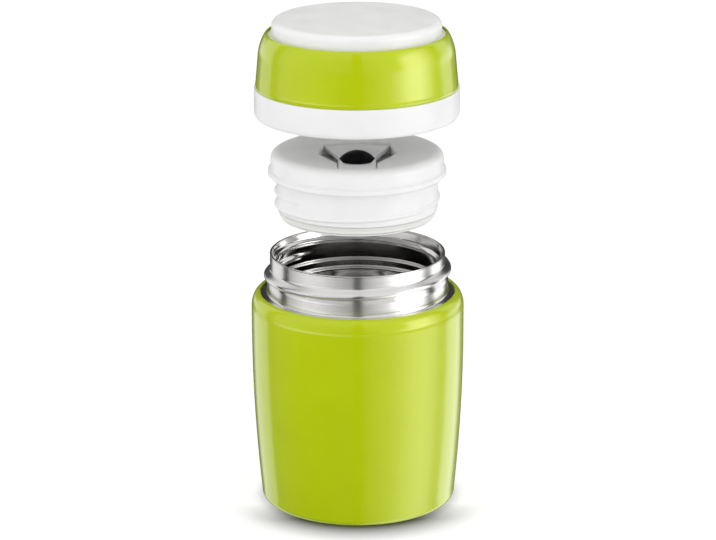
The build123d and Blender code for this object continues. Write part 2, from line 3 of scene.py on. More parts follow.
import bmesh
import bpy
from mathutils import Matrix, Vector


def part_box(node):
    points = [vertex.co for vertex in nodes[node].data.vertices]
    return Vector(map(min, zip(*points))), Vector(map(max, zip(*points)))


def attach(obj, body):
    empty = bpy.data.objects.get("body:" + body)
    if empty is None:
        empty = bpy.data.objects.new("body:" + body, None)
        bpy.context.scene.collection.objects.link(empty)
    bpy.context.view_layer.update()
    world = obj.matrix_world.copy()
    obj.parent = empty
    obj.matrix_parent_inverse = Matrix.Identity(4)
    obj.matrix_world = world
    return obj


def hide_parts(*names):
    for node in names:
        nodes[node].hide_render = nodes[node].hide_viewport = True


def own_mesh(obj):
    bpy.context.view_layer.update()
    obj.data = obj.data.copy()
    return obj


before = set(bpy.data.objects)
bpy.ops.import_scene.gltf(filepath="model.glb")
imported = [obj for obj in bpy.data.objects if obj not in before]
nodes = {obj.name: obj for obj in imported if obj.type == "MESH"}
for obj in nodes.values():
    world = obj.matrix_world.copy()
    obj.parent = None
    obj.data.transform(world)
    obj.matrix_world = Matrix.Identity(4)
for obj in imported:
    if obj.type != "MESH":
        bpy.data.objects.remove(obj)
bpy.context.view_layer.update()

# Insulated food jar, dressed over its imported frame. Profiles are written in millimetres, as the
# model's own sizes are, and the mesh builder turns them into metres. Z is up, the jar's axis is
# x = y = 0, and the front is -Y. Angles are in degrees. The stage at the end is in metres.
MM = 0.001


# ---------------------------------------------------------------- sizes read from the frame
def low(node):
    """A node's lowest height, in millimetres."""
    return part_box(node)[0].z / MM


def high(node):
    """A node's greatest height, in millimetres."""
    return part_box(node)[1].z / MM


def reach(node):
    """A node's greatest radius, in millimetres."""
    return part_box(node)[1].x / MM


CAP_HEIGHT = 11.3
SHOULDER = high("outer_shell")
SHELL_RADIUS = reach("outer_shell")
RIM = high("inner_flask")
SEAT = high("stopper_cap") - CAP_HEIGHT
PLUG_BOTTOM = low("stopper_body")
LID_BOTTOM = low("lid_liner")
LID_TOP = high("lid_top_cap")
BAND_TOP = high("lid_band")
LINER_TOP = high("lid_liner")

# ---------------------------------------------------------------- threads and gaps
THREAD_LEAD = 6.0
THREAD_START = 150.0
THREAD_FADE = 30.0
THREAD_FULLNESS = 0.8
MOVING_GAP = 0.3
STOPPER_LIFT = SEAT - MOVING_GAP - RIM
LID_GAP = 0.5
LID_LIFT = LID_BOTTOM - LID_GAP - SHOULDER

# ---------------------------------------------------------------- sizes of the shell
SHELL_WALL = 0.8
SHOULDER_ROUND = 4.0
SHOULDER_DROP = 7.0
WIDEST_HEIGHT = SHOULDER - 18.3
BASE_RADIUS = SHELL_RADIUS - 4.25
FOOT_ROUND = 3.0
FOOT_TOP = 1.05 * FOOT_ROUND
FOOT_INNER_RADIUS = 38.5
OPENING_RADIUS = SHELL_RADIUS - SHOULDER_ROUND

# ---------------------------------------------------------------- sizes of the neck
NECK_WALL = 0.8
NECK_RADIUS = 39.6
LOWER_NECK_RADIUS = 41.0
LOWER_NECK_TOP = SHOULDER + 5.7
UPPER_NECK_BOTTOM = LOWER_NECK_TOP + 3.5
NECK_STEP_ROUND = 2.5
NECK_FOOT_ROUND = 1.2
FLANGE_TOP = SHOULDER - 0.4
FLANGE_EDGE_ROUND = 0.25
NECK_WALL_BOTTOM = FLANGE_TOP + 1.0
BEAD_CREST = 42.4
BEAD_BELOW = 1.8
BEAD_ABOVE = 3.4
BEAD_HEIGHT = SHOULDER + 7.1
BEAD_TURNS = 1.0
BEAD_FULLNESS = 0.35

# ---------------------------------------------------------------- sizes of the flask
FLASK_WALL = 0.6
LIP_ROUND = 0.5
MOUTH_RADIUS = 37.9
MOUTH_TOP = RIM - 0.6
MOUTH_TOP_RADIUS = MOUTH_RADIUS + 0.7
FLARE_BOTTOM = RIM - 3.9
MOUTH_BEAD_CREST = 36.7
MOUTH_BEAD_HALF = 1.725
MOUTH_BEAD_HEIGHT = RIM - 10.4
MOUTH_BEAD_TURNS = 1.15
LEDGE_TOP = RIM - 14.2
LEDGE_SLOPE = 0.7
LEDGE_BOTTOM = LEDGE_TOP - 4.4
STEP_RADIUS = 36.5
STEP_BOTTOM = LEDGE_BOTTOM + 0.8
THROAT_RADIUS = 34.9
THROAT_BOTTOM = LEDGE_BOTTOM - 0.8
FLASK_SHOULDER = THROAT_BOTTOM - 15.0
FLASK_RADIUS = 44.0
FLASK_BASE_RADIUS = 40.4
FLASK_FLOOR = 9.6
FLASK_CORNER = 8.0

# ---------------------------------------------------------------- sizes of the stopper
PLUG_RADIUS = 36.2
PLUG_WALL = 1.8
PLUG_FOOT_RADIUS = 34.3
PLUG_FOOT_TOP = PLUG_BOTTOM + 0.7
GROOVE_RADIUS = 33.0
GROOVE_TOP = PLUG_FOOT_TOP + 3.7
PLUG_WALL_BOTTOM = GROOVE_TOP + 0.7
PLUG_TOP = SEAT + 3.0
RIB_CREST = 37.3
RIB_HALF = 1.43
RIB_HEIGHT = MOUTH_BEAD_HEIGHT + STOPPER_LIFT - THREAD_LEAD / 2
RIB_TURNS = 1.15
SEAL_THICKNESS = 1.4
SEAL_LOWER_LIP = 0.4
SEAL_UPPER_LIP = 1.2
VALVE_Y = -12.2
VALVE_POCKET_RADIUS = 6.5
VALVE_POCKET_DEPTH = 2.4
VALVE_BOSS_WALL = 1.5
STEM_HOLE_RADIUS = 1.9
TOOL_OVERRUN = 1.0
SPRING_WIRE_RADIUS = 0.4
SPRING_TURNS = 4
BUTTON_RADIUS = 8.2
BUTTON_HEIGHT = 4.2
BUTTON_EDGE_HEIGHT = 0.15
BUTTON_EDGE_INSET = 0.25
BUTTON_STUB_RADIUS = 3.0

# ---------------------------------------------------------------- sizes of the lid
LID_INNER_RADIUS = 43.0
LID_WALL = 1.2
LID_RIM_RADIUS = 45.85
LID_RIM_TOP = LID_BOTTOM + 13.4
LID_RIM_ROUND = 2.4
LID_THREAD_BOTTOM = LID_BOTTOM + 0.6
LID_THREAD_TOP = BEAD_HEIGHT + THREAD_LEAD + 1.0 + LID_LIFT
LID_ROOF = LINER_TOP - LID_WALL
LID_INNER_TOP_RADIUS = 40.6
LID_INNER_ROUND = 4.0
LID_RIB_CREST = 41.5
LID_RIB_HALF = 1.56
LID_RIB_HEIGHT = BEAD_HEIGHT + LID_LIFT - THREAD_LEAD / 2
LID_RIB_TURNS = 0.85
BAND_WALL = 1.0
BAND_BOTTOM_RADIUS = 45.2
BAND_BOTTOM_ROUND = 0.35
BAND_SHOULDER_RADIUS = 43.9
BAND_SHOULDER = BAND_TOP - 10.0
BAND_EDGE_RADIUS = 41.0
BAND_EDGE = BAND_TOP - 1.0
BAND_TOP_RADIUS = 40.0
TOP_CAP_RADIUS = 37.8
TOP_CAP_ROUND = 3.0
TOP_CAP_WALL = 1.6
TOP_CAP_GAP = 0.2
FLANGE_RADIUS = BAND_EDGE_RADIUS - BAND_WALL - TOP_CAP_GAP
TOP_CAP_FLANGE_TOP = BAND_TOP - 1.2
TOP_CAP_FLANGE_BOTTOM = TOP_CAP_FLANGE_TOP - 1.2

# ---------------------------------------------------------------- fineness of the meshes
# Flats round the axis, the spacing of rings where a bead rises, the bend from which an edge stays
# sharp, and how near to the axis or a wall a point counts as being on it.
SEGMENTS = 256
LACQUER_SEGMENTS = 320
BUTTON_SEGMENTS = 128
COARSE_SEGMENTS = 96
RING_SPACING = 0.22
MOUTH_RING_SPACING = 0.2
BAND_RING_SPACING = 2.0
SPRING_STEPS_A_TURN = 32
SPRING_WIRE_SIDES = 12
SHARP_ANGLE = 32
SPRING_SHARP_ANGLE = 50
ON_AXIS = 1e-6
ON_WALL = 0.01


# ---------------------------------------------------------------- outlines
def arc(centre, radius, start, end, steps=8, upright=None):
    """Points (radius, height) round a circle, or an oval, from one angle to another."""
    rise = upright or radius
    points = []
    for i in range(steps + 1):
        angle = math.radians(start + (end - start) * i / steps)
        points.append((centre[0] + radius * math.cos(angle), centre[1] + rise * math.sin(angle)))
    return points


def softened(corners, steps=5):
    """An outline (radius, height, rounding) with each corner rounded by an arc."""
    points = []
    for i, (x, y, rounding) in enumerate(corners):
        if rounding <= 0:
            points.append((x, y))
            continue
        here = Vector((x, y))
        before = (Vector(corners[i - 1][:2]) - here).normalized()
        after = (Vector(corners[(i + 1) % len(corners)][:2]) - here).normalized()
        half = before.angle(after) / 2
        inset = rounding / math.tan(half)
        middle = here + (before + after).normalized() * rounding / math.sin(half)
        first = here + before * inset - middle
        last = here + after * inset - middle
        sweep = first.angle_signed(last)
        for k in range(steps + 1):
            turn = -sweep * k / steps
            x_part = first.x * math.cos(turn) - first.y * math.sin(turn)
            y_part = first.x * math.sin(turn) + first.y * math.cos(turn)
            points.append(tuple(middle + Vector((x_part, y_part))))
    return points


def bowed(low_point, high_point, steps=16):
    """A side that stands upright at its high point and bows inward down to its low point."""
    drop = high_point[1] - low_point[1]
    draw_in = high_point[0] - low_point[0]
    bow = (drop**2 + draw_in**2) / (2 * draw_in)
    points = []
    for i in range(steps + 1):
        height = low_point[1] + drop * i / steps
        fall = high_point[1] - height
        points.append((high_point[0] - bow + math.sqrt(bow**2 - fall**2), height))
    return points


def divided(start, end, spacing):
    """Evenly spaced points from start to end, without the end."""
    steps = max(1, round(math.dist(start, end) / spacing))
    return [
        tuple(start[k] + (end[k] - start[k]) * i / steps for k in range(2)) for i in range(steps)
    ]


def tangent_arc(start, way, end, steps):
    """Points on the circle that leaves start in the given direction and passes through end."""
    length = math.hypot(*way)
    across = (-way[1] / length, way[0] / length)
    span = (end[0] - start[0], end[1] - start[1])
    radius = (span[0] ** 2 + span[1] ** 2) / (2 * (span[0] * across[0] + span[1] * across[1]))
    centre = (start[0] + across[0] * radius, start[1] + across[1] * radius)
    first = math.degrees(math.atan2(start[1] - centre[1], start[0] - centre[0]))
    last = math.degrees(math.atan2(end[1] - centre[1], end[0] - centre[0]))
    turn = (last - first + 180) % 360 - 180
    return arc(centre, abs(radius), first, first + turn, steps)


def flowing_curve(start, start_way, end, end_way, steps, tension=1.1):
    """Points on a smooth curve between two places, leaving and arriving in given directions."""
    pull = math.dist(start, end) * tension
    points = []
    for i in range(steps + 1):
        t = i / steps
        from_start = 2 * t**3 - 3 * t**2 + 1
        from_end = -2 * t**3 + 3 * t**2
        leaving = (t**3 - 2 * t**2 + t) * pull
        arriving = (t**3 - t**2) * pull
        points.append(
            tuple(
                from_start * start[k]
                + leaving * start_way[k]
                + from_end * end[k]
                + arriving * end_way[k]
                for k in range(2)
            )
        )
    return points


def thread(crest, reaches, start_height, turns, wall, start=THREAD_START, fullness=THREAD_FULLNESS):
    """How far a helical bead lifts a wall towards its crest, as a function of angle and place.

    The bead reaches below and above its crest by two given heights, and fades out past both ends.
    The wall it rises from is given as its least and greatest radius and height. The fullness shapes
    the lower flank: the lower the number, the steeper the flank.
    """
    below, above = reaches
    least_radius, greatest_radius, bottom, top = wall

    def lift(angle, radius, height):
        across = least_radius - ON_WALL < radius < greatest_radius + ON_WALL
        if not (across and bottom - ON_WALL < height < top):
            return 0.0
        share = 0.0
        for whole_turn in range(-1, 3):
            along = (angle - start) % 360 + 360 * whole_turn
            past_end = max(-along, along - 360 * turns, 0)
            if past_end > THREAD_FADE:
                continue
            rise = height - start_height - THREAD_LEAD * along / 360
            offset = rise / above if rise > 0 else -rise / below
            if offset >= 1:
                continue
            fade = 1 - past_end / THREAD_FADE
            fade = fade * fade * (3 - 2 * fade)
            power = THREAD_FULLNESS if rise > 0 else fullness
            share = max(share, fade * (0.5 + 0.5 * math.cos(math.pi * offset)) ** power)
        return (crest - radius) * share

    return lift


# ---------------------------------------------------------------- mesh builder
def linked(name, build):
    """A new object in the scene, with the mesh that was just built."""
    mesh = bpy.data.meshes.new(name)
    build.to_mesh(mesh)
    build.free()
    piece = bpy.data.objects.new(name, mesh)
    bpy.context.scene.collection.objects.link(piece)
    return piece


def smooth(mesh, sharp_angle=SHARP_ANGLE):
    """Smooth shading, apart from the edges that bend by more than an angle."""
    for face in mesh.polygons:
        face.use_smooth = True
    mesh.set_sharp_from_angle(angle=math.radians(sharp_angle))


def dress(piece, body, material):
    """Gives a new piece its material and slot, and the body it moves with."""
    piece.data.materials.append(material)
    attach(piece, body)


def lathe(name, outline, body, material, segments=SEGMENTS, lift=None):
    """A closed outline (radius, height) turned round the Z axis, with its thread bead raised."""
    build = bmesh.new()
    rings = []
    for radius, height in outline:
        if radius < ON_AXIS:
            rings.append([build.verts.new((0, 0, height * MM))])
            continue
        ring = []
        for i in range(segments):
            angle = 360 * i / segments
            raised = radius + lift(angle, radius, height) if lift else radius
            x = raised * math.cos(math.radians(angle))
            y = raised * math.sin(math.radians(angle))
            ring.append(build.verts.new((x * MM, y * MM, height * MM)))
        rings.append(ring)
    for lower, upper in zip(rings, rings[1:] + rings[:1]):
        if len(lower) == 1 and len(upper) == 1:
            continue
        for i in range(segments):
            j = (i + 1) % segments
            places = ((lower, i), (lower, j), (upper, j), (upper, i))
            corners = [ring[place % len(ring)] for ring, place in places]
            build.faces.new(list(dict.fromkeys(corners)))
    bmesh.ops.recalc_face_normals(build, faces=build.faces)
    piece = linked(name, build)
    smooth(piece.data)
    dress(piece, body, material)
    return piece


def rod(radius, bottom, top):
    """A plain round tool on the valve's axis, for carving."""
    build = bmesh.new()
    bmesh.ops.create_cone(
        build,
        cap_ends=True,
        segments=COARSE_SEGMENTS,
        radius1=radius * MM,
        radius2=radius * MM,
        depth=(top - bottom) * MM,
    )
    bmesh.ops.translate(build, verts=build.verts, vec=(0, VALVE_Y * MM, (bottom + top) / 2 * MM))
    return linked("tool", build)


def carve(piece, tool, operation):
    """Cuts a tool out of a piece, or adds it, and takes the tool away."""
    cut = piece.modifiers.new("cut", "BOOLEAN")
    cut.operation = operation
    cut.object = tool
    view = bpy.context.evaluated_depsgraph_get()
    carved = bpy.data.meshes.new_from_object(piece.evaluated_get(view))
    piece.modifiers.clear()
    piece.data = carved
    tool_mesh = tool.data
    bpy.data.objects.remove(tool)
    bpy.data.meshes.remove(tool_mesh)
    smooth(carved)


# ---------------------------------------------------------------- shader helpers
NOISE_LOW = 0.3
NOISE_HIGH = 0.7
TINT_START = 0.35
TINT_END = 0.65
FINE_RELIEF = 0.00002
CELL_RELIEF = 0.0002


def shader(name, colour, roughness, metallic=0.0):
    """A new material, with its node tree and its principled shader."""
    material = bpy.data.materials.new(name)
    material.use_nodes = True
    tree = material.node_tree
    surface = tree.nodes["Principled BSDF"]
    surface.inputs["Base Color"].default_value = (*colour, 1)
    surface.inputs["Roughness"].default_value = roughness
    surface.inputs["Metallic"].default_value = metallic
    return material, tree, surface


def stretched_noise(tree, scale, stretch=(1, 1, 1), detail=2.0):
    """A noise in the object's own coordinates, in metres, drawn out along its axes."""
    place = tree.nodes.new("ShaderNodeTexCoord")
    spread = tree.nodes.new("ShaderNodeMapping")
    spread.inputs["Scale"].default_value = stretch
    noise = tree.nodes.new("ShaderNodeTexNoise")
    noise.inputs["Scale"].default_value = scale
    noise.inputs["Detail"].default_value = detail
    tree.links.new(place.outputs["Object"], spread.inputs["Vector"])
    tree.links.new(spread.outputs["Vector"], noise.inputs["Vector"])
    return noise.outputs["Fac"]


def add_bump(tree, surface, height, strength, distance=FINE_RELIEF, normal="Normal"):
    """A bump from a height, into one of the shader's normals."""
    bump = tree.nodes.new("ShaderNodeBump")
    bump.inputs["Strength"].default_value = strength
    bump.inputs["Distance"].default_value = distance
    tree.links.new(height, bump.inputs["Height"])
    tree.links.new(bump.outputs["Normal"], surface.inputs[normal])


def remapped(tree, number, out_low, out_high, in_low=NOISE_LOW, in_high=NOISE_HIGH):
    """A number spread from one range to another."""
    spread = tree.nodes.new("ShaderNodeMapRange")
    spread.inputs["From Min"].default_value = in_low
    spread.inputs["From Max"].default_value = in_high
    spread.inputs["To Min"].default_value = out_low
    spread.inputs["To Max"].default_value = out_high
    tree.links.new(number, spread.inputs["Value"])
    return spread.outputs["Result"]


def tinted(tree, number, dark, light):
    """A colour between two, by a number from 0 to 1."""
    ramp = tree.nodes.new("ShaderNodeValToRGB")
    ends = ((TINT_START, dark), (TINT_END, light))
    for element, (position, colour) in zip(ramp.color_ramp.elements, ends):
        element.position = position
        element.color = (*colour, 1)
    tree.links.new(number, ramp.inputs["Fac"])
    return ramp.outputs["Color"]


def mixed(tree, share, first, second):
    """A blend of two numbers, each a socket or a plain value."""
    blend = tree.nodes.new("ShaderNodeMix")
    tree.links.new(share, blend.inputs[0])
    for place, value in ((2, first), (3, second)):
        if isinstance(value, float):
            blend.inputs[place].default_value = value
        else:
            tree.links.new(value, blend.inputs[place])
    return blend.outputs[0]


def vary(tree, surface, noise, colour, roughness, gloss_swing, darkest, lightest):
    """Lets the gloss and the tone of a surface drift a little with a noise."""
    smoothest = roughness * (1 - gloss_swing)
    roughest = roughness * (1 + gloss_swing)
    tree.links.new(remapped(tree, noise, smoothest, roughest), surface.inputs["Roughness"])
    dark = tuple(darkest * value for value in colour)
    light = tuple(min(1.0, lightest * value) for value in colour)
    tree.links.new(tinted(tree, noise, dark, light), surface.inputs["Base Color"])


# ---------------------------------------------------------------- materials
def lacquer():
    """Glossy lime lacquer with a clear coat and a faint orange peel."""
    material, tree, surface = shader("green_lacquer", (0.47, 0.61, 0.001), 0.4)
    cloud = stretched_noise(tree, 60)
    colour = tinted(tree, cloud, (0.465, 0.60, 0.0005), (0.48, 0.62, 0.001))
    tree.links.new(colour, surface.inputs["Base Color"])
    surface.inputs["Specular IOR Level"].default_value = 0.85
    surface.inputs["Specular Tint"].default_value = (1.0, 0.72, 0.04, 1)
    surface.inputs["Coat Weight"].default_value = 1.0
    surface.inputs["Coat Roughness"].default_value = 0.05
    surface.inputs["Coat IOR"].default_value = 1.46
    add_bump(tree, surface, stretched_noise(tree, 900), 0.05, normal="Coat Normal")
    return material


def steel(name, colour, roughness, anisotropy, groove_strength):
    """Turned stainless steel: fine grooves run round the axis and draw reflections out upright."""
    material, tree, surface = shader(name, colour, roughness, metallic=1.0)
    grooves = stretched_noise(tree, 1.0, (6, 6, 3000), detail=3.0)
    add_bump(tree, surface, grooves, groove_strength)
    bands = stretched_noise(tree, 1.0, (20, 20, 1400))
    vary(tree, surface, bands, colour, roughness, 0.15, darkest=0.97, lightest=1.02)
    surface.inputs["Anisotropic"].default_value = anisotropy
    surface.inputs["Anisotropic Rotation"].default_value = 0.25
    tangent = tree.nodes.new("ShaderNodeTangent")
    tangent.direction_type = "RADIAL"
    tangent.axis = "Z"
    tree.links.new(tangent.outputs["Tangent"], surface.inputs["Tangent"])
    return material


def plastic(name, colour, roughness, grain=0.08, shine=0.5):
    """Moulded plastic: a fine matt grain and a slight change of gloss."""
    material, tree, surface = shader(name, colour, roughness)
    surface.inputs["Specular IOR Level"].default_value = shine
    add_bump(tree, surface, stretched_noise(tree, 2600, detail=3.0), grain)
    gloss = stretched_noise(tree, 90)
    vary(tree, surface, gloss, colour, roughness, 0.12, darkest=0.985, lightest=1.01)
    return material


def foam():
    """Rigid insulating foam with open cells."""
    material, tree, surface = shader("foam", (0.78, 0.72, 0.50), 0.9)
    cells = tree.nodes.new("ShaderNodeTexVoronoi")
    cells.inputs["Scale"].default_value = 900
    place = tree.nodes.new("ShaderNodeTexCoord")
    tree.links.new(place.outputs["Object"], cells.inputs["Vector"])
    add_bump(tree, surface, cells.outputs["Distance"], 0.5, CELL_RELIEF)
    shade = tinted(tree, cells.outputs["Distance"], (0.66, 0.60, 0.40), (0.80, 0.74, 0.52))
    tree.links.new(shade, surface.inputs["Base Color"])
    return material


GREEN = lacquer()
NECK_STEEL = steel("neck_steel", (0.76, 0.75, 0.74), 0.22, 0.9, 0.06)
FLASK_STEEL = steel("flask_steel", (0.72, 0.71, 0.70), 0.12, 0.5, 0.03)
BASE_STEEL = steel("base_steel", (0.70, 0.70, 0.70), 0.30, 0.6, 0.3)
SPRING_STEEL = steel("spring_steel", (0.66, 0.66, 0.67), 0.25, 0.3, 0.1)
GETTER_METAL = steel("getter_metal", (0.55, 0.55, 0.56), 0.45, 0.2, 0.2)
WHITE = plastic("white_plastic", (0.90, 0.90, 0.89), 0.36)
SEAL_WHITE = plastic("white_silicone", (0.84, 0.84, 0.80), 0.5, 0.03)
BLACK = plastic("black_silicone", (0.004, 0.004, 0.004), 0.45, 0.12, 0.06)
FOAM = foam()
SEAL_GLASS = plastic("seal_glass", (0.05, 0.08, 0.07), 0.08, 0.0)

CAD_FINISH = {
    "base_plate": BASE_STEEL,
    "base_cover": BASE_STEEL,
    "port_seal": SEAL_GLASS,
    "getter": GETTER_METAL,
    "stopper_cap": WHITE,
    "stopper_foam": FOAM,
    "vent_lever": WHITE,
    "vent_pin": SPRING_STEEL,
    "vent_stem": WHITE,
    "valve_washer": SEAL_WHITE,
    "vent_clip": SPRING_STEEL,
    "lid_insulation": FOAM,
}


# ---------------------------------------------------------------- jar
def make_outer_shell():
    """The lacquered shell: rolled over at the shoulder and under at the foot."""
    side = bowed((BASE_RADIUS, 0), (SHELL_RADIUS, WIDEST_HEIGHT), 24)
    side = [point for point in side if point[1] > FOOT_TOP]
    foot_centre = (side[0][0] - FOOT_ROUND, FOOT_ROUND)
    foot = arc(foot_centre, FOOT_ROUND, -90, -2, 10)
    shoulder_centre = (OPENING_RADIUS, SHOULDER - SHOULDER_DROP)
    shoulder = arc(shoulder_centre, SHOULDER_ROUND, 0, 90, 20, SHOULDER_DROP)
    outside = [(FOOT_INNER_RADIUS, 0)] + foot + side + shoulder
    inner_round = SHOULDER_ROUND - SHELL_WALL
    inner_shoulder = arc(shoulder_centre, inner_round, 90, 0, 12, SHOULDER_DROP - SHELL_WALL)
    inner_base = (BASE_RADIUS - SHELL_WALL, SHELL_WALL)
    inner_side = bowed(inner_base, (SHELL_RADIUS - SHELL_WALL, WIDEST_HEIGHT), 16)
    inner_side = [point for point in reversed(inner_side) if point[1] > FOOT_ROUND]
    inner_foot = arc(foot_centre, FOOT_ROUND - SHELL_WALL, 0, -90, 6)
    inside = inner_shoulder + inner_side + inner_foot + [(FOOT_INNER_RADIUS, SHELL_WALL)]
    outline = outside + inside
    piece = lathe("shell_lacquered", outline, "jar", GREEN, LACQUER_SEGMENTS)
    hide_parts("outer_shell")


def make_threaded_neck():
    """The bare steel neck with its rolled bead, its step and the flange in the shoulder."""
    top = RIM - FLASK_WALL
    outer = softened(
        [
            (OPENING_RADIUS, FLANGE_TOP - NECK_WALL, 0),
            (OPENING_RADIUS, FLANGE_TOP, FLANGE_EDGE_ROUND),
            (LOWER_NECK_RADIUS, FLANGE_TOP, NECK_FOOT_ROUND),
            (LOWER_NECK_RADIUS, LOWER_NECK_TOP, NECK_STEP_ROUND),
            (NECK_RADIUS, UPPER_NECK_BOTTOM, NECK_STEP_ROUND),
            (NECK_RADIUS, top, 0),
        ]
    )
    wall = []
    for here, after in zip(outer, outer[1:]):
        wall += divided(here, after, RING_SPACING) if here[1] > NECK_WALL_BOTTOM else [here]
    wall.append(outer[-1])
    inner = [
        (NECK_RADIUS - NECK_WALL, top),
        (NECK_RADIUS - NECK_WALL, UPPER_NECK_BOTTOM),
        (LOWER_NECK_RADIUS - NECK_WALL, LOWER_NECK_TOP),
        (LOWER_NECK_RADIUS - NECK_WALL, FLANGE_TOP - NECK_WALL),
    ]
    bead = thread(
        BEAD_CREST,
        (BEAD_BELOW, BEAD_ABOVE),
        BEAD_HEIGHT,
        BEAD_TURNS,
        (NECK_RADIUS, LOWER_NECK_RADIUS, NECK_WALL_BOTTOM, top),
        fullness=BEAD_FULLNESS,
    )
    piece = lathe("neck_turned", wall + inner, "jar", NECK_STEEL, lift=bead)
    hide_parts("threaded_neck")


def make_inner_flask():
    """The flask: rim lip, threaded mouth, sealing ledge, throat and food compartment."""
    rim_round = FLASK_WALL / 2
    lip = arc((NECK_RADIUS - rim_round, RIM - rim_round), rim_round, -80, 90)
    lip += arc((MOUTH_TOP_RADIUS + LIP_ROUND, RIM - LIP_ROUND), LIP_ROUND, 90, 170)
    flare_foot = (MOUTH_RADIUS, FLARE_BOTTOM)
    mouth = divided((MOUTH_TOP_RADIUS, MOUTH_TOP), flare_foot, MOUTH_RING_SPACING)
    mouth += divided(flare_foot, (MOUTH_RADIUS, LEDGE_TOP), MOUTH_RING_SPACING)
    ledge = softened(
        [
            (MOUTH_RADIUS, RIM, 0),
            (MOUTH_RADIUS, LEDGE_TOP, 0.5),
            (STEP_RADIUS, LEDGE_TOP - LEDGE_SLOPE, 0.4),
            (STEP_RADIUS, STEP_BOTTOM, 0.4),
            (THROAT_RADIUS, LEDGE_BOTTOM, 0.5),
            (THROAT_RADIUS, THROAT_BOTTOM, 0.3),
            (THROAT_RADIUS + 1, THROAT_BOTTOM - 1, 0),
        ]
    )[1:-1]
    throat_end = (THROAT_RADIUS, THROAT_BOTTOM)
    shoulder_end = (FLASK_RADIUS, FLASK_SHOULDER)
    shoulder = flowing_curve(throat_end, (0.7, -0.7), shoulder_end, (0, -1), 24)[2:]
    side = bowed((FLASK_BASE_RADIUS, FLASK_FLOOR), shoulder_end)
    side = [point for point in reversed(side) if point[1] > FLASK_FLOOR + FLASK_CORNER][1:]
    corner_centre = (side[-1][0] - FLASK_CORNER, FLASK_FLOOR + FLASK_CORNER)
    corner = arc(corner_centre, FLASK_CORNER, 0, -90, 14)
    inside = lip + mouth + ledge + shoulder + side + corner + [(0, FLASK_FLOOR)]
    outside = [
        (0, FLASK_FLOOR - FLASK_WALL),
        *arc(corner_centre, FLASK_CORNER + FLASK_WALL, -90, 0),
        *[(radius + FLASK_WALL, height) for radius, height in reversed(shoulder + side)],
        (THROAT_RADIUS + FLASK_WALL, LEDGE_BOTTOM - FLASK_WALL),
        (STEP_RADIUS + FLASK_WALL, STEP_BOTTOM - FLASK_WALL),
        (STEP_RADIUS + FLASK_WALL, LEDGE_TOP - 3 * FLASK_WALL),
        (MOUTH_RADIUS + FLASK_WALL, LEDGE_TOP - FLASK_WALL),
        (NECK_RADIUS - NECK_WALL, RIM - FLASK_WALL),
        (NECK_RADIUS - rim_round, RIM - FLASK_WALL),
    ]
    bead = thread(
        MOUTH_BEAD_CREST,
        (MOUTH_BEAD_HALF, MOUTH_BEAD_HALF),
        MOUTH_BEAD_HEIGHT,
        MOUTH_BEAD_TURNS,
        (MOUTH_RADIUS, MOUTH_TOP_RADIUS, LEDGE_TOP, MOUTH_TOP),
    )
    outline = inside + outside
    piece = lathe("flask_polished", outline, "jar", FLASK_STEEL, lift=bead)
    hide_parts("inner_flask")


# ---------------------------------------------------------------- stopper
def make_stopper_body():
    """The plug with its thread rib, its seal groove and the valve's pocket."""
    foot = softened(
        [
            (0, PLUG_BOTTOM, 0),
            (PLUG_FOOT_RADIUS, PLUG_BOTTOM, 0.5),
            (PLUG_FOOT_RADIUS, PLUG_FOOT_TOP, 0.1),
            (GROOVE_RADIUS, PLUG_FOOT_TOP, 0.2),
            (GROOVE_RADIUS, GROOVE_TOP, 0.2),
            (PLUG_RADIUS, GROOVE_TOP, 0.5),
            (PLUG_RADIUS, PLUG_TOP, 0),
        ]
    )[:-1]
    wall = divided((PLUG_RADIUS, PLUG_WALL_BOTTOM), (PLUG_RADIUS, PLUG_TOP), RING_SPACING)
    inner = [
        (PLUG_RADIUS, PLUG_TOP),
        (PLUG_RADIUS - PLUG_WALL, PLUG_TOP),
        (PLUG_RADIUS - PLUG_WALL, GROOVE_TOP + PLUG_WALL),
        (GROOVE_RADIUS - PLUG_WALL, GROOVE_TOP),
        (GROOVE_RADIUS - PLUG_WALL, PLUG_BOTTOM + PLUG_WALL),
        (0, PLUG_BOTTOM + PLUG_WALL),
    ]
    rib = thread(
        RIB_CREST,
        (RIB_HALF, RIB_HALF),
        RIB_HEIGHT,
        RIB_TURNS,
        (PLUG_RADIUS, PLUG_RADIUS, PLUG_WALL_BOTTOM, PLUG_TOP),
    )
    outline = foot + wall + inner
    piece = lathe("plug_moulded", outline, "stopper", WHITE, lift=rib)
    boss_radius = VALVE_POCKET_RADIUS + VALVE_BOSS_WALL
    pocket_roof = PLUG_BOTTOM + VALVE_POCKET_DEPTH
    boss_top = pocket_roof + VALVE_BOSS_WALL
    below_plug = PLUG_BOTTOM - TOOL_OVERRUN
    carve(piece, rod(boss_radius, PLUG_BOTTOM + PLUG_WALL / 2, boss_top), "UNION")
    carve(piece, rod(VALVE_POCKET_RADIUS, below_plug, pocket_roof), "DIFFERENCE")
    carve(piece, rod(STEM_HOLE_RADIUS, below_plug, boss_top + TOOL_OVERRUN), "DIFFERENCE")
    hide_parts("stopper_body")


def make_stopper_seal():
    """The silicone ring with its two soft lips."""
    bottom = low("stopper_seal")
    top = high("stopper_seal")
    height = top - bottom
    inner = GROOVE_RADIUS + MOVING_GAP
    outer = inner + SEAL_THICKNESS
    outline = softened(
        [
            (inner, bottom, 0.2),
            (outer, bottom, 0.15),
            (outer + SEAL_LOWER_LIP, bottom + 0.15 * height, 0.12),
            (outer, bottom + 0.4 * height, 0.2),
            (outer, bottom + 0.55 * height, 0.2),
            (outer + SEAL_UPPER_LIP, bottom + 0.75 * height, 0.12),
            (outer, top, 0.15),
            (inner, top, 0.2),
        ]
    )
    piece = lathe("seal_moulded", outline, "seal_ring", SEAL_WHITE)
    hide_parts("stopper_seal")


